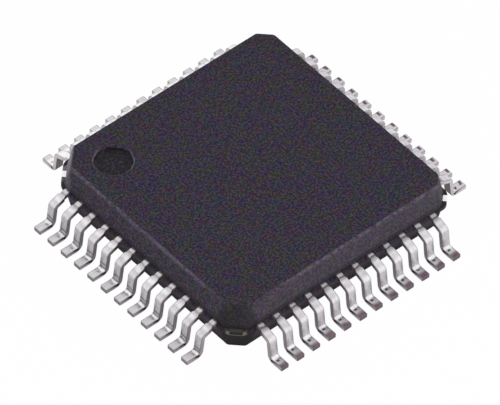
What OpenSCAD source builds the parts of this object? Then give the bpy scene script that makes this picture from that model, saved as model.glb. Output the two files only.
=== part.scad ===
// Quad flat pack: a square moulded body with gull-wing leads on all four sides.
// Millimetres. +Z is up, the board is the plane Z = 0 and the origin is the
// point of that plane under the centre of the body. The pin-1 corner is at
// -X +Y, and the leads count anticlockwise from it, seen from above.

/* [Moulded body] */
// Width of the square body at its parting line
body_w = 7; // [6.8:0.1:8]
// Gap between the board and the underside of the body
standoff = 0.07; // [0.05:0.01:0.15]
// Depth of the lower half, from the underside to the leadframe
lower_t = 0.655; // [0.6:0.005:0.7]
// Depth of the upper half, from the leadframe to the top face
upper_t = 0.605; // [0.55:0.005:0.7]
// Slope of the four sides away from upright, in degrees
mould_draft = 13; // [8:1:16]
// Radius along the rims of the top face and the underside
rim_r = 0.05; // [0.02:0.01:0.08]
// Length cut from each side by the plain corners, at the parting line
corner_cut = 0.4; // [0.3:0.02:0.5]
// Length cut from each side by the pin-1 corner, at the parting line
pin1_cut = 0.63; // [0.4:0.01:0.66]
// Radius that joins each corner face to the two sides beside it, at the parting line
corner_r = 0.28; // [0.2:0.01:0.3]
// How far the moulding between the leads stands out of the sides
dam_proud = 0.02; // [0.01:0.01:0.04]
// How far the parting ledge stands out of the corner faces
corner_ledge = 0.1; // [0.06:0.01:0.14]

/* [Moulded marks] */
// Diameter of the pin-1 dimple
dot_d = 1; // [0.5:0.1:1.2]
// Depth of the pin-1 dimple
dot_depth = 0.08; // [0.03:0.01:0.15]
// Distance from the middle of the dimple to the two nearest sides
dot_inset = 1.13; // [0.95:0.01:1.5]
// Diameter of the ejector marks on the underside
ejector_d = 0.8; // [0.5:0.1:1]
// Depth of the ejector marks
ejector_depth = 0.02; // [0.01:0.01:0.05]
// Distance from the middle of an ejector mark to the two nearest sides
ejector_inset = 1.3; // [1:0.1:1.6]

/* [Leads] */
// Number of leads on each side
pins_side = 12; // [8:1:12]
// Distance from lead to lead
pitch = 0.5; // [0.45:0.01:0.5]
// Thickness of the leadframe
lead_t = 0.12; // [0.1:0.005:0.15]
// Width of a lead from the trimmed dam bar to the toe
lead_w = 0.24; // [0.2:0.01:0.27]
// Width of a lead where it leaves the body
root_w = 0.18; // [0.15:0.01:0.2]
// Distance from the body to the end of the narrow root
root_l = 0.2; // [0.15:0.01:0.25]
// Distance from the body to the toe
lead_reach = 0.975; // [0.95:0.005:1.05]
// Length of the foot, from the middle line of the riser to the toe
foot_l = 0.445; // [0.38:0.005:0.46]
// Downward slope of the shoulder, in degrees
shoulder_drop = 21; // [10:1:24]
// Slope of the riser away from upright, in degrees
riser_tilt = 7; // [3:1:10]
// Flat stretch between the body and the first bend
root_flat = 0.02; // [0.01:0.01:0.04]
// Inner radius of the bends
bend_r = 0.04; // [0.02:0.005:0.06]
// Inner radius of the bend above the foot
heel_r = 0.08; // [0.04:0.01:0.1]

/* [Leadframe inside the body] */
// Width of the square die pad
pad_w = 4.2; // [3.8:0.1:4.4]
// Drop of the die pad below the leads
pad_drop = 0.2; // [0.15:0.01:0.25]
// Gap between the die pad and the tips of the leads
tip_gap = 0.2; // [0.15:0.01:0.3]
// Width of a lead at its inner tip
tip_w = 0.14; // [0.1:0.01:0.16]
// Gap between the tie bars and the leads beside them
tie_gap = 0.06; // [0.04:0.01:0.08]
// Distance from the corner of the die pad to the tip of the lead nearest it
tip_margin = 0.35; // [0.3:0.01:0.4]
// Width of the tie bars that carry the die pad
tie_w = 0.2; // [0.15:0.01:0.24]
// Length over which a tie bar rises from the die pad to the leads
tie_rise = 0.24; // [0.2:0.01:0.3]
// Length of the fork in the tie bar at the mould gate, up to the corner face of the body
fork_l = 0.3; // [0.25:0.01:0.35]
// Width of each prong of that fork
prong_w = 0.09; // [0.06:0.01:0.1]
// How far the prongs reach past the ends of the corner ledge, taken before it is rounded
prong_lap = 0.04; // [0.01:0.01:0.05]

/* [Die and bond wires] */
// Width of the square die
die_w = 3; // [2.4:0.1:3.4]
// Thickness of the die
die_t = 0.28; // [0.2:0.01:0.32]
// Thickness of the adhesive under the die
attach_t = 0.03; // [0.02:0.01:0.05]
// How far the adhesive spreads past the die
attach_spread = 0.08; // [0.05:0.01:0.15]
// Diameter of a bond wire
wire_d = 0.03; // [0.02:0.005:0.035]
// Diameter of the ball bonded to the die
ball_d = 0.07; // [0.06:0.005:0.08]
// Diameter of the stitch bonded to the tip of a lead
stitch_d = 0.06; // [0.05:0.005:0.07]
// Height of that stitch above the lead
stitch_h = 0.036; // [0.036:0.002:0.046]
// Height of the wire loops above the die
loop_h = 0.16; // [0.12:0.01:0.2]
// Distance from the edge of the die to the bonds on it
bond_inset = 0.12; // [0.1:0.01:0.2]
// Distance from the corner of the die to the bond nearest it
bond_margin = 0.4; // [0.3:0.01:0.6]
// Distance from the inner tip of a lead to the stitch on it
stitch_inset = 0.14; // [0.1:0.01:0.2]

/* [Hidden] */
BEND_STEPS = 7;
RIM_STEPS = 3;
// angle from one flat of the body's outline to the next
WALL_TURN = 15;
PINS = 4 * pins_side;
SIDES = 4;
// where the wire's loop turns down, as a share of its run
KNEE = 0.35;
// sides of a bond wire's section
WIRE_SIDES = 8;
// heights
frame_z = standoff + lower_t;
frame_top = frame_z + lead_t;
body_top = frame_top + upper_t;
frame_mid = frame_z + lead_t / 2;
pad_top = frame_top - pad_drop;
die_z = pad_top + attach_t;
die_top = die_z + die_t;
// plan
face = body_w / 2;
dam_face = face + dam_proud;
toe = face + lead_reach;
tip_d = pad_w / 2 + tip_gap;
tip_pitch = (pad_w - 2 * tip_margin) / (pins_side - 1);
bond_pitch = (die_w - 2 * bond_margin) / (pins_side - 1);
row_end = (pins_side - 1) / 2 * pitch;
// where the leads turn towards the die pad, clear of the tie bars
turn_d = row_end + (tie_w / 2 + tie_gap + root_w / 2) * sqrt(2);
// side left beyond the last lead of a row, which limits the cuts of the corners
side_end = face - row_end - root_w / 2;
// distance from the centre, along a diagonal, to the corner faces at the parting line
plain_corner = (body_w - min(corner_cut, side_end)) / sqrt(2);
pin1_corner = (body_w - min(pin1_cut, side_end)) / sqrt(2);
// turn of each corner's diagonal about +Z, with the gate corner first and pin 1 last
GATE = 225;
PIN1 = 135;
BARE_CORNERS = [315, 45];

function pin_name(i) = str("lead_", i < 10 ? "0" : "", i);
function wires_name(q) = str("bond_wires_side_", q + 1);

// ---- formed strip: the outline, seen from the side, of a strip of the leadframe
// that follows a path, with every corner of the path turned to a true bend

function along(a) = [cos(a), sin(a)];
function heading(p, q) = atan2(q[1] - p[1], q[0] - p[0]);

// one side of one bend, off = distance from the middle line, + to the left
function bend_side(path, inner, k, off) =
    let (
        a = heading(path[k - 1], path[k]),
        turn = heading(path[k], path[k + 1]) - a,
        s = turn < 0 ? 1 : -1,
        r = inner[k - 1] + lead_t / 2,
        start = path[k] - r * tan(abs(turn) / 2) * along(a),
        centre = start + s * r * along(a - 90)
    )
    [for (j = [0 : BEND_STEPS])
        centre + (r + s * off) * along(a + turn * j / BEND_STEPS + s * 90)];

function strip_side(path, inner, off) =
    let (n = len(path) - 1)
    concat(
        [path[0] + off * along(heading(path[0], path[1]) + 90)],
        [for (k = [1 : n - 1]) each bend_side(path, inner, k, off)],
        [path[n] + off * along(heading(path[n - 1], path[n]) + 90)]);

function backwards(list) = [for (k = [len(list) - 1 : -1 : 0]) list[k]];

// inner = the inner radius of each bend
function strip_outline(path, inner) =
    concat(
        strip_side(path, inner, lead_t / 2),
        backwards(strip_side(path, inner, -lead_t / 2)));

// an outline in X and Z, drawn out to both sides of the XZ plane
module upright(width) {
    rotate([90, 0, 0])
        linear_extrude(width, center = true)
            children();
}

// ---- leads: a strip stamped to its plan and bent to its side view.
// Each is drawn on the +X side, with X outwards and Y along the row.

function row_y(k) = (k - (pins_side - 1) / 2) * pitch;
function tip_y(k) = (k - (pins_side - 1) / 2) * tip_pitch;
function bond_y(k) = (k - (pins_side - 1) / 2) * bond_pitch;

bend_start = dam_face + root_flat;
foot_corner = [toe - foot_l, lead_t / 2];
// where the shoulder's middle line meets the riser's
riser_run = tan(riser_tilt);
shoulder_fall = tan(shoulder_drop);
shoulder_x = (foot_corner[0] - riser_run * (frame_mid - foot_corner[1])
    - riser_run * shoulder_fall * bend_start) / (1 - riser_run * shoulder_fall);
shoulder_z = frame_mid - shoulder_fall * (shoulder_x - bend_start);

lead_path = [
    [tip_d, frame_mid],
    [bend_start, frame_mid],
    [shoulder_x, shoulder_z],
    foot_corner,
    [toe, lead_t / 2]];

// plan of the flat part in the body, from the inner tip out to x
module finger_plan(k, x) {
    polygon([
        [tip_d, tip_y(k) - tip_w / 2],
        [turn_d, row_y(k) - root_w / 2],
        [x, row_y(k) - root_w / 2],
        [x, row_y(k) + root_w / 2],
        [turn_d, row_y(k) + root_w / 2],
        [tip_d, tip_y(k) + tip_w / 2]]);
}

// plan of the part outside, which widens past the trimmed dam bar
module blade_plan(k) {
    flare = (lead_w - root_w) / 2;
    wide = face + root_l;
    translate([0, row_y(k)])
        polygon([
            [wide - flare, -root_w / 2],
            [wide, -lead_w / 2],
            [toe, -lead_w / 2],
            [toe, lead_w / 2],
            [wide, lead_w / 2],
            [wide - flare, root_w / 2]]);
}

module lead_shape(k) {
    intersection() {
        translate([0, row_y(k) / 2, 0])
            upright(abs(row_y(k)) + 2 * lead_w)
                polygon(strip_outline(lead_path, [bend_r, bend_r, heel_r]));
        linear_extrude(frame_top + lead_t) {
            finger_plan(k, face + root_l);
            blade_plan(k);
        }
    }
}

// turns a thing from the +X side to side q, with the sides in order of the pins
module on_side(q) {
    rotate([0, 0, 180 + 90 * q])
        children();
}

module lead(i) {
    color("silver")
        on_side(floor((i - 1) / pins_side))
            lead_shape((i - 1) % pins_side);
}

// ---- die pad with its four tie bars, one stamping

// run of a tie bar from the pad up to the level of the leads and out to x
module tie_shape(x) {
    foot = pad_w / sqrt(2);
    upright(tie_w)
        polygon(strip_outline([
            [foot - tie_w, frame_mid - pad_drop],
            [foot + bend_r, frame_mid - pad_drop],
            [foot + bend_r + tie_rise, frame_mid],
            [x, frame_mid]], [bend_r, bend_r]));
}

// the fork that ends the tie bar at the mould gate, a bridge with two prongs that
// run out to the surface of the body
module fork(x) {
    half = sqrt(2) * dam_face - x + prong_lap;
    inner = half - prong_w;
    bridge = x - corner_ledge - fork_l;
    intersection() {
        rotate([0, 0, GATE])
            translate([0, 0, frame_z])
                linear_extrude(lead_t)
                    polygon([
                        [bridge, -half], [x, -half], [x, -inner], [bridge + tie_w, -inner],
                        [bridge + tie_w, inner], [x, inner], [x, half], [bridge, half]]);
        parting_band();
    }
}

module die_pad() {
    plain_end = plain_corner + corner_ledge;
    color("silver") {
        translate([-pad_w / 2, -pad_w / 2, pad_top - lead_t])
            cube([pad_w, pad_w, lead_t]);
        for (a = BARE_CORNERS)
            rotate([0, 0, a])
                tie_shape(plain_end);
        rotate([0, 0, PIN1])
            tie_shape(pin1_corner + corner_ledge);
        rotate([0, 0, GATE])
            tie_shape(plain_end - corner_ledge - fork_l + tie_w / 2);
        fork(plain_end);
    }
}

// ---- die, its adhesive and its bond wires

module slab(width, z, thick) {
    translate([-width / 2, -width / 2, z])
        cube([width, width, thick]);
}

module die_attach() {
    color("gainsboro")
        slab(die_w + 2 * attach_spread, pad_top, attach_t);
}

module die() {
    color("slategray")
        slab(die_w, die_z, die_t);
}

// a straight stretch of wire in the XZ plane, turned about its own line
module wire_run(p, q, turn) {
    translate([p[0], 0, p[1]])
        rotate([0, 90 - heading(p, q), 0])
            rotate([0, 0, turn])
                cylinder(h = norm(q - p), d = wire_d, $fn = WIRE_SIDES);
}

// ball on the die, loop, and stitch on the tip of the lead. The loop's stretches
// meet corner to flat, so that no edge of one lies along an edge of the next.
module wire(k) {
    bond = [die_w / 2 - bond_inset, bond_y(k)];
    share = stitch_inset / (turn_d - tip_d);
    land = [tip_d + stitch_inset, tip_y(k) + share * (row_y(k) - tip_y(k))];
    span = norm(land - bond);
    knee = KNEE * span;
    lap = wire_d / 4;
    loop_z = die_top + loop_h;
    half_flat = 180 / WIRE_SIDES;
    translate([bond[0], bond[1], 0])
        rotate([0, 0, heading(bond, land)]) {
            translate([0, 0, die_top])
                cylinder(h = wire_d, d = ball_d, $fn = 24);
            wire_run([0, die_top + wire_d / 2], [0, loop_z + lap], half_flat);
            wire_run([-lap, loop_z], [knee + lap, loop_z], 0);
            wire_run([knee, loop_z], [span, frame_top + wire_d], half_flat);
            translate([span, 0, frame_top])
                cylinder(h = stitch_h, d = stitch_d, $fn = 24);
        }
}

module bond_wires(q) {
    color("gold")
        on_side(q)
            for (k = [0 : pins_side - 1])
                wire(k);
}

// ---- moulded body

// half of the body, seen from the side: parting line at Z = 0, rim rounded,
// left and right = half widths at the parting line
module half_outline(left, right, height) {
    slope = tan(mould_draft);
    // the rim's arc turns from the slope of the side to level
    turn = 90 - mould_draft;
    back = rim_r * tan(turn / 2);
    function rim(reach) = [for (j = [0 : RIM_STEPS])
        let (a = mould_draft + turn * j / RIM_STEPS)
        [reach - height * slope - back + rim_r * cos(a), height - rim_r + rim_r * sin(a)]];
    polygon(concat(
        [[-left, 0], [right, 0]],
        rim(right),
        [for (p = backwards(rim(left))) [-p[0], p[1]]]));
}

// distance from the centre to the wall that faces the angle a, at the parting line:
// a side, a corner face or a flat of the round edge between them, where the sides lie
// at that distance and the corner faces stand out by ledge
function wall(a, side, ledge) =
    let (
        corner = (a % 360 > 90 && a % 360 < 180 ? pin1_corner : plain_corner) + ledge,
        turn = min(a % 90, 90 - a % 90),
        centre = side - corner_r
    )
    centre * cos(turn) + (sqrt(2) * (corner - corner_r) - centre) * sin(turn) + corner_r;

// a half of the mould's cavity: sloping sides and corner faces, with round edges between
module body_half(height) {
    intersection_for (a = [0 : WALL_TURN : 180 - WALL_TURN])
        rotate([0, 0, a])
            upright(2 * body_w)
                half_outline(wall(a + 180, face, 0), wall(a, face, 0), height);
}

// the moulding at the level of the leadframe, between the leads and at the corners
module parting_band() {
    translate([0, 0, frame_z])
        linear_extrude(lead_t)
            intersection_for (a = [0 : WALL_TURN : 180 - WALL_TURN])
                rotate(a)
                    band_strip(wall(a + 180, dam_face, corner_ledge), wall(a, dam_face, corner_ledge));
}

module band_strip(left, right) {
    translate([-left, -body_w])
        square([left + right, 2 * body_w]);
}

module pin1_dimple() {
    at = face - dot_inset;
    translate([-at, at, body_top - dot_depth])
        cylinder(h = 2 * dot_depth, d = dot_d, $fn = 64);
}

module ejector_marks() {
    at = face - ejector_inset;
    for (x = [-at, at], y = [-at, at])
        translate([x, y, standoff - ejector_depth])
            cylinder(h = 2 * ejector_depth, d = ejector_d, $fn = 48);
}

module mould_body() {
    color("#3b383f")
        difference() {
            union() {
                translate([0, 0, frame_top])
                    body_half(upper_t);
                parting_band();
                translate([0, 0, frame_z])
                    mirror([0, 0, 1])
                        body_half(lower_t);
            }
            pin1_dimple();
            ejector_marks();
            for (q = [0 : SIDES - 1], k = [0 : pins_side - 1])
                on_side(q)
                    translate([0, 0, frame_z])
                        linear_extrude(lead_t)
                            finger_plan(k, bend_start);
            die_pad();
            die_attach();
            die();
            for (q = [0 : SIDES - 1])
                bond_wires(q);
        }
}

mould_body();
die_pad();
die_attach();
die();
for (q = [0 : SIDES - 1])
    bond_wires(q);
for (i = [1 : PINS])
    lead(i);
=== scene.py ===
"""A quad flat pack chip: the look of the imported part, with its floor, lights and camera.
Named lengths are in millimetres, which mm() turns to metres, and angles are in degrees."""

import math

import bpy
from mathutils import Matrix, Vector


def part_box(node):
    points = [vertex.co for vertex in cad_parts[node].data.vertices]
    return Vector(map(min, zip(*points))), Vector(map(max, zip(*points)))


# the camera: the way to it, how far off it is, and the point that it aims at, which lies
# this far to the right of the origin and above it in the camera's view
AZIMUTH = -41.47
ELEVATION = 47.67
ROLL = 1.05
DISTANCE = 226
AIM = (-0.014, 0.162)
LENS = 668.5
SENSOR = 36
CLIP_NEAR = 1
CLIP_FAR = 5000

# the light: how strongly the world lights the part, and the azimuth, elevation, size and
# power in watts of each lamp
WORLD_LIGHT = 0.57
LAMPS = {"key": (-80, 30, 60, 0.012), "fill": (15, 20, 60, 0.019)}
LAMP_DISTANCE = 60

# the floor: its size, how far below the part it lies, how white it is, and how much of
# plain white it shows to the camera and in reflections
FLOOR_SIZE = 4000
FLOOR_GAP = 0.01
FLOOR_WHITE = 0.85
FLOOR_SHOW = 0.98
FLOOR_MIRRORED = 0.03

# the leads, and how their edges are broken
LEAD_THICKNESS = 0.12
LEAD_WIDTH = 0.24
ROOT_WIDTH = 0.18
EDGE_RADIUS = 0.02
EDGE_SEGMENTS = 3
EDGE_ANGLE = 50
WELD_GAP = 0.0005

# the body: how far its parting ledge stands out from its faces, and how far inside those
# faces lie the rim of the top face, the pin-1 dimple and the marks of the ejector pins
DAM_PROUD = 0.02
RIM_INSET = 0.175
DIMPLE_INSET = 1.13
DIMPLE_RADIUS = 0.5
EJECTOR_INSET = 1.3
EJECTOR_RADIUS = 0.4

# how far from the middle of the body towards the mould gate, at -X -Y, these come on: the
# end of the rim's painted highlight, the dull metal, the corner painted dark, and the flash on
# the parting ledge and on its brink. The flash ends that far to each side.
GATE_RIM = (3.4, 4.4)
GATE_METAL = (4, 4.3)
GATE_CORNER = (4.35, 4.5)
GATE_FLASH = (4.55, 4.6)
GATE_BRINK = (4.6, 4.64)
FLASH_END = (0.24, 0.32)

# how far from the middle towards pin 1, at -X +Y, the cut face begins
PIN1_FACE = (4.32, 4.39)

# places along a lead, by how far along it and down it they lie from its root: where it
# widens, its riser, the painted dark reflections on its foot and toe, and where the painted
# highlight on the +Y row fades
ROOT_WIDENS = (0.17, 0.25)
RISER = (0.5, 0.9)
FOOT_STARTS = (1.36, 1.4)
FOOT_DARK_REFLECTION = 1.42
BRIGHT_ENDS = (1.5, 1.58)
TOE_DARK_REFLECTION = (1.5, 1.66)
TOE_SPOT = 1.63

# greys at such places, 0 to 255, mostly painted highlights and reflections: a root painted
# dull by the body's reflection, a mark where the dam bar was cut, a painted highlight on the
# shoulder, painted dark reflections low on the riser, a painted highlight on the heel, and the
# foot. The rows at -Y and +X take the second table, with their own painted reflections.
LEAD_SHEEN_MINUS_X_PLUS_Y = (
    (0, 225), (0.12, 220), (0.18, 168), (0.25, 215), (0.4, 254), (0.52, 224),
    (0.66, 238), (0.75, 228), (0.9, 236), (1.08, 232), (1.14, 150), (1.2, 222),
    (1.27, 140), (1.33, 255), (1.38, 255), (1.43, 222), (1.58, 222), (1.7, 220))
LEAD_SHEEN_MINUS_Y_PLUS_X = (
    (0, 192), (0.12, 182), (0.17, 84), (0.24, 170), (0.38, 232), (0.52, 224),
    (0.66, 252), (0.75, 248), (0.9, 250), (1.1, 246), (1.18, 255), (1.35, 255),
    (1.4, 212), (1.52, 198), (1.57, 155), (1.62, 112), (1.7, 106))


def mm(length):
    """Millimetres as metres."""
    return length / 1000


def srgb(red, green, blue):
    """A colour given as 0 to 255, as the linear one that a shader takes."""
    def linear(value):
        value /= 255
        return value / 12.92 if value < 0.04045 else ((value + 0.055) / 1.055) ** 2.4
    return (linear(red), linear(green), linear(blue), 1)


# ---- node materials

class Shader:
    """A node material with short ways to add and join its nodes."""

    def __init__(self, name):
        self.material = bpy.data.materials.new(name)
        self.material.use_nodes = True
        self.tree = self.material.node_tree
        self.surface = self.tree.nodes["Principled BSDF"]
        coordinates = self.node("ShaderNodeTexCoord")
        self.place = coordinates.outputs["Object"]
        self.x, self.y, self.z = self.axes(self.place)
        self.normal = self.axes(coordinates.outputs["Normal"])
        self.colour = None

    def node(self, kind, inputs=None, **settings):
        """Adds a node. Each input is a number, a colour or the output of another node."""
        node = self.tree.nodes.new(kind)
        for name, value in settings.items():
            setattr(node, name, value)
        for name, value in (inputs or {}).items():
            self.feed(node.inputs[name], value)
        return node

    def feed(self, socket, value):
        if isinstance(value, bpy.types.NodeSocket):
            self.tree.links.new(value, socket)
        else:
            socket.default_value = value

    def axes(self, vector):
        """The three parts of a vector."""
        return tuple(self.node("ShaderNodeSeparateXYZ", {"Vector": vector}).outputs)

    def math(self, operation, *values):
        node = self.node("ShaderNodeMath", operation=operation)
        for socket, value in zip(node.inputs, values):
            self.feed(socket, value)
        return node.outputs[0]

    def times(self, first, *others):
        """The product of the values."""
        product = first
        for value in others:
            product = self.math("MULTIPLY", product, value)
        return product

    def minus(self, first, second):
        return self.math("SUBTRACT", first, second)

    def magnitude(self, value):
        return self.math("ABSOLUTE", value)

    def distance(self, x, y):
        """The length of an offset that goes x one way and y the other."""
        squares = [self.times(side, side) for side in (x, y)]
        return self.math("SQRT", self.math("ADD", *squares))

    def ramp(self, value, start, end, low=0.0, high=1.0):
        """Goes smoothly from low to high as the value goes from start to end."""
        node = self.node("ShaderNodeMapRange", interpolation_type="SMOOTHSTEP")
        for socket, number in zip(node.inputs, (value, start, end, low, high)):
            self.feed(socket, number)
        return node.outputs[0]

    def over(self, length, span, low=0.0, high=1.0):
        """Goes smoothly from low to high over a span of millimetres."""
        start, end = span
        return self.ramp(length, mm(start), mm(end), low, high)

    def band(self, value, middle, half, soft):
        """1 within half of the middle, falling to 0 over the soft width."""
        return self.ramp(self.magnitude(self.minus(value, middle)), half, half + soft, 1, 0)

    def noise(self, size, detail=2.0, roughness=0.5, shift=0.0):
        """Noise with features of about that size in millimetres. Each shift gives its own."""
        node = self.node("ShaderNodeTexNoise", {
            "Vector": self.place, "W": shift, "Scale": 1 / mm(size),
            "Detail": detail, "Roughness": roughness}, noise_dimensions="4D")
        return node.outputs[0]

    def tones(self, value, stops):
        """A grey that changes smoothly with the value, through stops of millimetres and 0 to 255."""
        span = mm(stops[-1][0])
        node = self.node("ShaderNodeValToRGB", {"Fac": self.math("DIVIDE", value, span)})
        ramp = node.color_ramp
        ramp.interpolation = "EASE"
        for place, tone in stops[1:-1]:
            ramp.elements.new(mm(place) / span).color = srgb(tone, tone, tone)
        for index in (0, -1):
            tone = stops[index][1]
            ramp.elements[index].color = srgb(tone, tone, tone)
        return node.outputs[0]

    def choose(self, share, first, second):
        """A number between two."""
        return self.node("ShaderNodeMix", {0: share, 2: first, 3: second}).outputs[0]

    def mix(self, share, first, second, blend="MIX"):
        """A colour between two."""
        inputs = {0: share, 6: first, 7: second}
        return self.node("ShaderNodeMix", inputs, data_type="RGBA", blend_type=blend).outputs[2]

    def paint(self, colour, *shares):
        """Lays a colour over the one so far. The product of the shares says how thickly."""
        self.colour = self.mix(self.times(*shares), self.colour, colour)

    def bump(self, height, depth):
        """A bump from a height of 0 to 1, that deep in millimetres."""
        return self.node("ShaderNodeBump", {"Height": height, "Distance": mm(depth)}).outputs[0]

    def to_gate(self):
        """How far a place lies from the middle towards the mould gate, at -X -Y."""
        return self.times(self.math("ADD", self.x, self.y), -1 / math.sqrt(2))

    def finish(self, **sockets):
        """Sets the surface's colour and other sockets, with _ for the spaces in their names."""
        for name, value in {"Base_Color": self.colour, **sockets}.items():
            self.feed(self.surface.inputs[name.replace("_", " ")], value)
        return self.material


class MouldCompound(Shader):
    """Filled epoxy: dark, matt and finely grained, with the marks of moulding, and painted
    highlights, reflections and shade.
    """

    def __init__(self, low, high, lead_top):
        super().__init__("mould_compound_grain")
        self.bottom = low.z
        self.top = high.z
        self.face = high.y - mm(DAM_PROUD)
        self.rim = self.face - mm(RIM_INSET)
        self.lead_top = lead_top
        self.lead_bottom = lead_top - mm(LEAD_THICKNESS)
        # which half of the body a place is on, how far out it is, and how it faces
        self.upper = self.math("GREATER_THAN", self.z, self.lead_bottom)
        self.above_leads = self.math("GREATER_THAN", self.z, self.lead_top)
        self.width = self.magnitude(self.x)
        self.length = self.magnitude(self.y)
        self.out = self.math("MAXIMUM", self.width, self.length)
        self.gate = self.to_gate()
        self.pin1 = self.times(self.minus(self.y, self.x), 1 / math.sqrt(2))
        self.facing_up = self.normal[2]
        # fine grain, and the patches in which painted highlights on edges show and the lips of the
        # ejector marks are worn
        self.grain = self.noise(0.056, 1.5, 0.6)
        self.speckle = self.ramp(self.grain, 0.37, 0.7)
        self.patches = self.ramp(self.noise(0.1, 2, 0.6, shift=3), 0.35, 0.65, 0.15, 0.6)

    def make(self):
        self.lay_grain()
        self.paint_lower_half_light_and_shade()
        self.paint_upper_half_light_and_shade()
        self.paint_gate_corner()
        self.paint_rim_highlight_and_dark()
        self.paint_pin1_face_highlight()
        self.paint_flash()
        smooth = self.math("MAXIMUM", self.paint_dimple(), self.paint_ejector_marks())
        height = self.times(self.grain, self.ramp(smooth, 0, 1, 1, 0.4))
        return self.finish(Roughness=self.ramp(smooth, 0, 1, 0.6, 0.45),
                           Specular_IOR_Level=0.2, Normal=self.bump(height, 0.006))

    def blotches(self, first, second, shift):
        """Broad faint patches of two colours."""
        return self.mix(self.ramp(self.noise(0.19, 1, shift=shift), 0.36, 0.64), first, second)

    def lay_grain(self):
        """Fine grain with faint colour in it, green to purple and brown to blue."""
        fine = self.mix(self.speckle, srgb(0, 0, 2), srgb(90, 84, 96))
        green_purple = self.blotches(srgb(20, 54, 22), srgb(56, 8, 62), shift=7)
        brown_blue = self.blotches(srgb(54, 34, 22), srgb(20, 22, 76), shift=13)
        self.colour = self.mix(0.5, fine, self.mix(0.5, green_purple, brown_blue))

    def paint_lower_half_light_and_shade(self):
        """The sides are painted darker as shade, with a paler band of painted bounced light a little
        below the leads, and painted dark shade at the corners.
        """
        side = self.times(self.minus(1, self.upper), self.ramp(self.facing_up, -0.9, -0.6))
        below = self.minus(self.lead_bottom, self.z)
        to_corner = self.minus(self.rim, self.math("MINIMUM", self.width, self.length))
        # painted shade on the lower sides, a band of painted bounced light, and painted shade at the
        # corners
        self.paint(srgb(50, 40, 50), side, 0.6)
        self.paint(srgb(106, 96, 108), side, self.over(below, (0.02, 0.2)),
                   self.over(below, (0.2, 0.5), 0.4, 0))
        self.paint(srgb(18, 13, 15), side, self.over(to_corner, (0.25, 0.5), 0.75, 0))

    def paint_upper_half_light_and_shade(self):
        """The sides are painted a little paler as light, most of all at -Y and +X, and painted dark
        just above the leads as shade.
        """
        side = self.times(self.above_leads, self.band(self.facing_up, 0.22, 0.1, 0.1))
        to_right = self.over(self.minus(self.x, self.y), (0, 0.5), 0.06, 0.15)
        foot = self.band(self.z, self.lead_top + mm(0.03), mm(0.03), mm(0.08))
        # painted light on the sides towards -Y and +X, and painted shade just above the leads
        self.paint(srgb(118, 110, 116), side, to_right)
        self.paint(srgb(24, 20, 24), foot, 0.5)

    def paint_gate_corner(self):
        """The corner at the mould gate is painted dark; the extra dark on the lower half is painted
        shade.
        """
        # corner painted dark, with painted shade on its lower half
        self.paint(srgb(22, 20, 16), self.over(self.gate, GATE_CORNER),
                   self.ramp(self.upper, 0, 1, 0.8, 0.6))

    def paint_rim_highlight_and_dark(self):
        """The top face's rim carries a painted highlight in patches along the two sides that meet at
        the gate, and is painted dark along the other two."""
        high = self.over(self.minus(self.top, self.z), (0.05, 0.09), 1, 0)
        front = self.over(self.gate, (-0.1, 0.1))
        along_rim = self.band(self.out, self.rim, mm(0.022), mm(0.035))
        past_rim = self.over(self.minus(self.out, self.rim), (0, 0.04), 0, 0.55)
        # painted highlight along the rim of the two front sides, fading towards the gate
        self.paint(srgb(118, 107, 122), high, along_rim, self.patches,
                   self.over(self.gate, GATE_RIM, 1, 0.2), front)
        # the rim along the two back sides painted dark
        self.paint(srgb(10, 4, 12), high, self.minus(1, front), past_rim)

    def paint_pin1_face_highlight(self):
        """The cut face at the pin-1 corner, at -X +Y, carries a pale painted highlight, least of all
        near -X.
        """
        towards_back = self.math("MINIMUM", self.over(self.gate, (-0.5, -0.1), 0.5, 1),
                                 self.over(self.gate, (-0.3, 0.5), 0.9, 0.15))
        # the pale tones of the painted highlight on the pin-1 cut face
        rubbed = self.mix(self.speckle, srgb(130, 127, 134), srgb(166, 162, 172))
        self.paint(rubbed, self.over(self.pin1, PIN1_FACE), towards_back, self.above_leads)

    def paint_flash(self):
        """Dull flash on the parting ledge at the gate, between the two prongs of the tie bar,
        and more of it along the ledge's brink."""
        between = self.over(self.magnitude(self.pin1), FLASH_END, 1, 0)
        level = self.math("GREATER_THAN", self.facing_up, 0.9)
        top_face = self.math("GREATER_THAN", self.z, self.top - mm(0.1))
        ledge = self.times(self.minus(level, top_face), self.over(self.gate, GATE_FLASH))
        brink = self.times(self.band(self.z, self.lead_bottom, mm(0.012), mm(0.012)),
                           self.over(self.gate, GATE_BRINK))
        flash = self.math("MAXIMUM", self.times(ledge, 0.3), self.times(brink, 0.8))
        self.paint(srgb(116, 113, 100), flash, between)

    def paint_dimple(self):
        """The pin-1 dimple, painted dark inside as a dark reflection, with a painted highlight on its
        lip, strongest towards the pin-1 corner and away from it. Gives back where the dimple is."""
        reach = self.face - mm(DIMPLE_INSET)
        radius = mm(DIMPLE_RADIUS)
        x = self.math("ADD", self.x, reach)
        y = self.minus(self.y, reach)
        away = self.distance(x, y)
        on_top = self.math("GREATER_THAN", self.z, self.top - mm(0.2))
        inside = self.times(on_top, self.over(self.minus(radius, away), (0.005, 0.02)))
        lip = self.times(on_top, self.band(away, radius, mm(0.008), mm(0.012)),
                         self.ramp(self.magnitude(self.minus(x, y)), radius, 1.4 * radius, 0.3, 1.4))
        dark = self.mix(self.ramp(self.grain, 0.47, 0.75), srgb(0, 0, 0), srgb(64, 48, 72))
        # painted dark reflection inside the dimple
        self.paint(dark, inside, 0.9)
        # painted highlight on the dimple's lip
        self.paint(srgb(136, 130, 138), lip, self.patches)
        return inside

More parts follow.
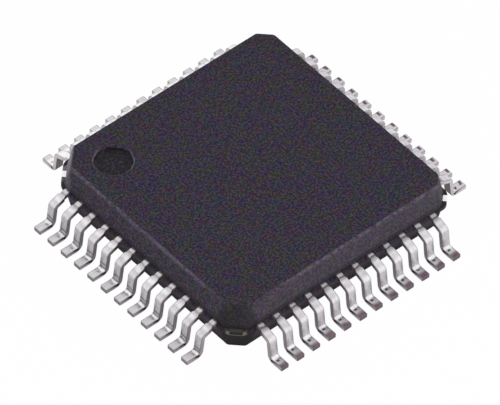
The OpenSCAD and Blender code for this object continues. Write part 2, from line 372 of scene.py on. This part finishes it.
    def paint_ejector_marks(self):
        """The four round marks of the ejector pins on the underside, smoother and with a paler
        lip. Gives back where they are."""
        reach = self.face - mm(EJECTOR_INSET)
        radius = mm(EJECTOR_RADIUS)
        away = self.distance(self.minus(self.width, reach), self.minus(self.length, reach))
        below = self.math("LESS_THAN", self.z, self.bottom + mm(0.05))
        inside = self.times(below, self.over(self.minus(radius, away), (0, 0.015)))
        lip = self.times(below, self.band(away, radius, mm(0.006), mm(0.012)))
        self.paint(srgb(30, 27, 31), inside, 0.5)
        self.paint(srgb(136, 130, 138), lip, self.patches)
        return inside


class TinPlating(Shader):
    """Matt tin plating over a stamped and formed lead."""

    def __init__(self, face, toe_reach, root_level, pitch):
        super().__init__("tin_plating")
        self.toe_reach = toe_reach
        width = self.magnitude(self.x)
        length = self.magnitude(self.y)
        self.out = self.math("MAXIMUM", width, length)
        # which row a place is in, how far along the row, and how far across its lead
        self.in_x_row = self.math("GREATER_THAN", width, length)
        # the rows at -Y and +X, which take their own painted reflections
        self.rows_at_minus_y_and_plus_x = self.math("GREATER_THAN", self.x, self.y)
        self.at_right = self.times(self.rows_at_minus_y_and_plus_x, self.in_x_row)
        self.at_front = self.times(self.rows_at_minus_y_and_plus_x, self.minus(1, self.in_x_row))
        self.at_back = self.math("GREATER_THAN", self.y, width)
        self.along_row = self.choose(self.in_x_row, self.x, self.y)
        self.from_middle = self.minus(self.math("WRAP", self.along_row, 0, pitch), pitch / 2)
        # how far along the lead and down it, from its root, a little uneven
        travel = self.minus(self.minus(self.out, self.z), face - root_level)
        uneven = self.ramp(self.noise(0.3, 1), 0.3, 0.7, mm(-0.03), mm(0.03))
        self.travel = self.math("ADD", travel, uneven)
        self.grain = self.noise(0.03, 3, 0.6)

    def make(self):
        self.lay_tones()
        self.rub_lines()
        self.paint_toe_dark_reflections()
        self.paint_row_reflections()
        self.paint_foot_dark_reflections()
        self.paint_edge_dark_reflections()
        sheared = self.paint_sides()
        return self.finish(Metallic=1.0, Roughness=self.ramp(sheared, 0, 1, 0.28, 0.4),
                           Normal=self.bump(self.grain, 0.001))

    def lay_tones(self):
        """Grained and clouded tin, with painted highlights and reflections along the lead."""
        self.colour = self.mix(self.ramp(self.grain, 0.3, 0.7),
                               srgb(238, 234, 238), srgb(255, 253, 255))
        self.paint(srgb(212, 206, 212), self.ramp(self.noise(0.7, 1, shift=5), 0.4, 0.65, 0, 0.3))
        # painted highlights and reflections along the lead, one table for each pair of rows
        tones = self.mix(self.rows_at_minus_y_and_plus_x, self.tones(self.travel, LEAD_SHEEN_MINUS_X_PLUS_Y),
                         self.tones(self.travel, LEAD_SHEEN_MINUS_Y_PLUS_X))
        self.colour = self.mix(1.0, self.colour, tones, blend="MULTIPLY")

    def rub_lines(self):
        """Faint rubbed lines that run along the lead."""
        stretched = self.node("ShaderNodeCombineXYZ", {
            "X": self.times(self.along_row, 1 / mm(0.03)),
            "Y": self.times(self.travel, 1 / mm(0.3))}).outputs[0]
        lines = self.node("ShaderNodeTexNoise", {
            "Vector": stretched, "Scale": 1, "Detail": 2}).outputs[0]
        self.paint(srgb(150, 142, 150), self.ramp(lines, 0.5, 0.72, 0, 0.35))

    def paint_toe_dark_reflections(self):
        """The toes at -Y are painted brown, as a dark reflection."""
        brown = self.mix(self.ramp(self.noise(0.08, 1, shift=9), 0.35, 0.65),
                         srgb(102, 72, 92), srgb(134, 104, 110))
        # painted dark reflection on the toes at -Y
        self.paint(brown, self.at_front, self.over(self.travel, TOE_DARK_REFLECTION, 0, 0.72))

    def paint_row_reflections(self):
        """The feet at +X are painted an even grey, with a dark spot on each toe, both painted
        reflections. The leads at +Y carry a painted highlight from the root to the toe."""
        # painted reflections on the feet at +X, and a painted dark spot on each toe
        self.paint(srgb(206, 200, 208), self.at_right, self.over(self.travel, FOOT_STARTS))
        self.paint(srgb(104, 92, 94), self.at_right,
                   self.band(self.travel, mm(TOE_SPOT), mm(0.03), mm(0.03)),
                   self.over(self.from_middle, (-0.05, 0)))
        # painted highlight along the leads at +Y
        self.paint(srgb(255, 254, 255), self.at_back, self.over(self.travel, BRIGHT_ENDS, 0.8, 0.1))

    def paint_foot_dark_reflections(self):
        """A short painted dark reflection on top of each foot, beside its middle."""
        # painted dark reflection on each foot, stronger on the rows at -Y and +X
        self.paint(srgb(84, 72, 84),
                   self.band(self.travel, mm(FOOT_DARK_REFLECTION), mm(0.025), mm(0.02)),
                   self.band(self.from_middle, mm(-0.02), mm(0.03), mm(0.02)),
                   self.ramp(self.rows_at_minus_y_and_plus_x, 0, 1, 0.45, 0.95))

    def paint_edge_dark_reflections(self):
        """Painted dark reflections on the long edges, closer together at the narrow root, and at the
        toe.
        """
        half_width = self.over(self.travel, ROOT_WIDENS, mm(ROOT_WIDTH) / 2, mm(LEAD_WIDTH) / 2)
        to_edge = self.minus(half_width, self.magnitude(self.from_middle))
        edge = self.over(to_edge, (0.004, 0.034), 0.85, 0)
        cut = self.over(self.minus(self.toe_reach, self.out), (0.004, 0.024), 0.8, 0)
        # painted dark reflections along the edges and the toe
        self.paint(srgb(122, 115, 122), self.math("MAXIMUM", edge, cut))

    def paint_sides(self):
        """The sheared sides, painted paler at +X and +Y as a reflection of the lit floor, and the
        side that faces the body painted brown as shade. Gives back where the sheared sides are."""
        x, y, _ = self.normal
        across = self.choose(self.in_x_row, x, y)
        sheared = self.ramp(self.magnitude(across), 0.8, 0.95)
        side = self.mix(self.over(self.travel, RISER, 0.8, 0),
                        srgb(186, 180, 188), srgb(214, 196, 196))
        side = self.mix(self.math("MAXIMUM", self.at_back, self.at_right), side,
                        srgb(240, 234, 238))
        # painted reflections on the sheared sides, paler at +X and +Y
        self.paint(side, sheared)
        outwards = self.choose(self.in_x_row, self.times(y, self.math("SIGN", self.y)),
                               self.times(x, self.math("SIGN", self.x)))
        # painted shade, brown, on the side that faces the body
        self.paint(srgb(132, 110, 112), self.ramp(outwards, -0.75, -0.4, 0.85, 0))
        return sheared


def plain_metal(name, dark, light, roughness):
    """A metal whose colour varies a little from place to place, and is dull at the mould gate."""
    shader = Shader(name)
    grain = shader.noise(0.06, 2, 0.6)
    shader.colour = shader.mix(grain, dark, light)
    shader.paint(srgb(110, 112, 100), shader.over(shader.to_gate(), GATE_METAL, 0, 0.95))
    return shader.finish(Metallic=1.0, Roughness=roughness, Normal=shader.bump(grain, 0.001))


def adhesive():
    """Silver-filled die adhesive."""
    shader = Shader("silver_adhesive_paste")
    grain = shader.noise(0.02, 3, 0.7)
    shader.colour = shader.mix(grain, srgb(150, 150, 152), srgb(205, 204, 202))
    return shader.finish(Metallic=0.6, Roughness=0.55, Normal=shader.bump(grain, 0.003))


def silicon():
    """Polished silicon, with a faint change of tint."""
    shader = Shader("polished_silicon")
    cloud = shader.noise(0.8)
    shader.colour = shader.mix(cloud, srgb(86, 88, 104), srgb(112, 106, 122))
    return shader.finish(Metallic=0.5, Roughness=0.2)


def dress(obj, material):
    """Puts one material on every face of a piece."""
    for index in range(len(obj.data.materials)):
        obj.data.materials[index] = material


def break_edges(obj):
    """Rounds the sharp edges of a lead, whose faces come apart in its file."""
    weld = obj.modifiers.new("weld", "WELD")
    weld.merge_threshold = mm(WELD_GAP)
    bevel = obj.modifiers.new("edges", "BEVEL")
    bevel.width = mm(EDGE_RADIUS)
    bevel.segments = EDGE_SEGMENTS
    bevel.limit_method = "ANGLE"
    bevel.angle_limit = math.radians(EDGE_ANGLE)
    bevel.use_clamp_overlap = True
    normals = obj.modifiers.new("normals", "WEIGHTED_NORMAL")
    normals.weight = 50
    normals.keep_sharp = False


# ---- stage

def add_floor():
    """A wide white floor that shows as white and keeps a trace of the shadow. From below it is
    clear, so that the underside of the part can be looked at."""
    mesh = bpy.data.meshes.new("floor")
    half = mm(FLOOR_SIZE) / 2
    level = mm(-FLOOR_GAP)
    corners = [(-half, -half, level), (half, -half, level), (half, half, level), (-half, half, level)]
    mesh.from_pydata(corners, [], [(0, 1, 2, 3)])
    mesh.materials.append(floor_white())
    floor = bpy.data.objects.new("floor", mesh)
    bpy.context.scene.collection.objects.link(floor)
    floor.visible_diffuse = False


def floor_white():
    """White that glows for the rays that show a background, and is clear from its back."""
    material = bpy.data.materials.new("floor_white")
    material.use_nodes = True
    nodes, links = material.node_tree.nodes, material.node_tree.links
    nodes.clear()
    diffuse = nodes.new("ShaderNodeBsdfDiffuse")
    diffuse.inputs["Color"].default_value = (FLOOR_WHITE, FLOOR_WHITE, FLOOR_WHITE, 1)
    glow = nodes.new("ShaderNodeEmission")
    glow.inputs["Strength"].default_value = 1
    front = mix_shaders(nodes, links, background_share(nodes, links, FLOOR_SHOW, FLOOR_MIRRORED),
                        diffuse, glow)
    from_back = nodes.new("ShaderNodeNewGeometry").outputs["Backfacing"]
    both = mix_shaders(nodes, links, from_back, front, nodes.new("ShaderNodeBsdfTransparent"))
    output = nodes.new("ShaderNodeOutputMaterial")
    links.new(both.outputs[0], output.inputs["Surface"])
    return material


def mix_shaders(nodes, links, share, first, second):
    """A node that goes from the first shader to the second by the share."""
    mix = nodes.new("ShaderNodeMixShader")
    for socket, source in zip(mix.inputs, (share, first.outputs[0], second.outputs[0])):
        links.new(source, socket)
    return mix


def background_share(nodes, links, by_camera, mirrored):
    """A share for the rays that show a background: by_camera for those from the camera, and
    mirrored for those in a reflection or through glass."""
    path = nodes.new("ShaderNodeLightPath")
    shares = {"Is Camera Ray": by_camera, "Is Glossy Ray": mirrored, "Is Transmission Ray": mirrored}
    total = None
    for ray, share in shares.items():
        part = nodes.new("ShaderNodeMath")
        part.operation = "MULTIPLY_ADD"
        links.new(path.outputs[ray], part.inputs[0])
        part.inputs[1].default_value = share
        part.inputs[2].default_value = 0
        if total:
            links.new(total, part.inputs[2])
        total = part.outputs[0]
    return total


def light_world():
    """A white world that lights the part evenly and shows as plain white."""
    world = bpy.data.worlds.new("studio")
    bpy.context.scene.world = world
    world.use_nodes = True
    nodes, links = world.node_tree.nodes, world.node_tree.links
    background = nodes["Background"]
    background.inputs["Color"].default_value = (1, 1, 1, 1)
    strength = nodes.new("ShaderNodeMapRange")
    strength.inputs["To Min"].default_value = WORLD_LIGHT
    strength.inputs["To Max"].default_value = 1
    links.new(background_share(nodes, links, 1, 1), strength.inputs["Value"])
    links.new(strength.outputs[0], background.inputs["Strength"])


def direction(azimuth, elevation):
    """The way to a place seen from the part, with azimuth 0 in front, at -Y."""
    turn, rise = math.radians(azimuth), math.radians(elevation)
    return Vector((math.sin(turn) * math.cos(rise), -math.cos(turn) * math.cos(rise), math.sin(rise)))


def add_lamp(name, azimuth, elevation, size, power):
    """A square soft lamp that shines at the part and isn't seen in it."""
    lamp = bpy.data.lights.new(name, "AREA")
    lamp.shape = "SQUARE"
    lamp.size = mm(size)
    lamp.energy = power
    obj = bpy.data.objects.new(name, lamp)
    bpy.context.scene.collection.objects.link(obj)
    back = direction(azimuth, elevation)
    obj.visible_glossy = False
    obj.location = back * mm(LAMP_DISTANCE)
    obj.rotation_euler = back.to_track_quat("Z", "Y").to_euler()


def add_camera():
    """The camera that shows the part as its named values say."""
    back = direction(AZIMUTH, ELEVATION)
    level = Vector((math.cos(math.radians(AZIMUTH)), math.sin(math.radians(AZIMUTH)), 0))
    right = Matrix.Rotation(math.radians(ROLL), 3, back) @ level
    up = back.cross(right)
    data = bpy.data.cameras.new("camera")
    data.lens = LENS
    data.sensor_width = SENSOR
    data.clip_start = mm(CLIP_NEAR)
    data.clip_end = mm(CLIP_FAR)
    camera = bpy.data.objects.new("camera", data)
    bpy.context.scene.collection.objects.link(camera)
    axes = Matrix((right, up, back)).transposed().to_4x4()
    aim = mm(AIM[0]) * right + mm(AIM[1]) * up
    camera.matrix_world = Matrix.Translation(aim + back * mm(DISTANCE)) @ axes
    bpy.context.scene.camera = camera


# ---- the part

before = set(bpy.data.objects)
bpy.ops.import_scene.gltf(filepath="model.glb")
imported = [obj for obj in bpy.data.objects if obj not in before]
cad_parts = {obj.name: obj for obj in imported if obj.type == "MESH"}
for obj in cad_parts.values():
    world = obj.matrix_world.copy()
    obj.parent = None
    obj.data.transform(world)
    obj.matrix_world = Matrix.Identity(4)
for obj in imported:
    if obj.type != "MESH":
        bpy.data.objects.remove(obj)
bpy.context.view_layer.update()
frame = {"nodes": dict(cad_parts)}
nodes = frame["nodes"]

body_low, body_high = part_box("mould_body")
lead_low, lead_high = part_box("lead_01")
next_low, next_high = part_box("lead_02")
pitch = lead_high.y - next_high.y

# a node takes the first of these whose name its own name starts with
finishes = {
    "mould_body": MouldCompound(body_low, body_high, lead_high.z).make(),
    "die_pad": plain_metal("leadframe_metal", srgb(232, 230, 228), srgb(255, 254, 253), 0.35),
    "die_attach": adhesive(),
    "die": silicon(),
    "bond_wires": plain_metal("gold_wire_metal", srgb(214, 172, 90), srgb(240, 200, 120), 0.25),
    "lead": TinPlating(body_high.y - mm(DAM_PROUD), -lead_low.x, lead_high.z, pitch).make(),
}
for name, obj in nodes.items():
    kind = next(kind for kind in finishes if name.startswith(kind))
    dress(obj, finishes[kind])
    if kind == "lead":
        break_edges(obj)

add_floor()
light_world()
for name, settings in LAMPS.items():
    add_lamp(name, *settings)
add_camera()

scene = bpy.context.scene
scene.view_settings.view_transform = "Standard"
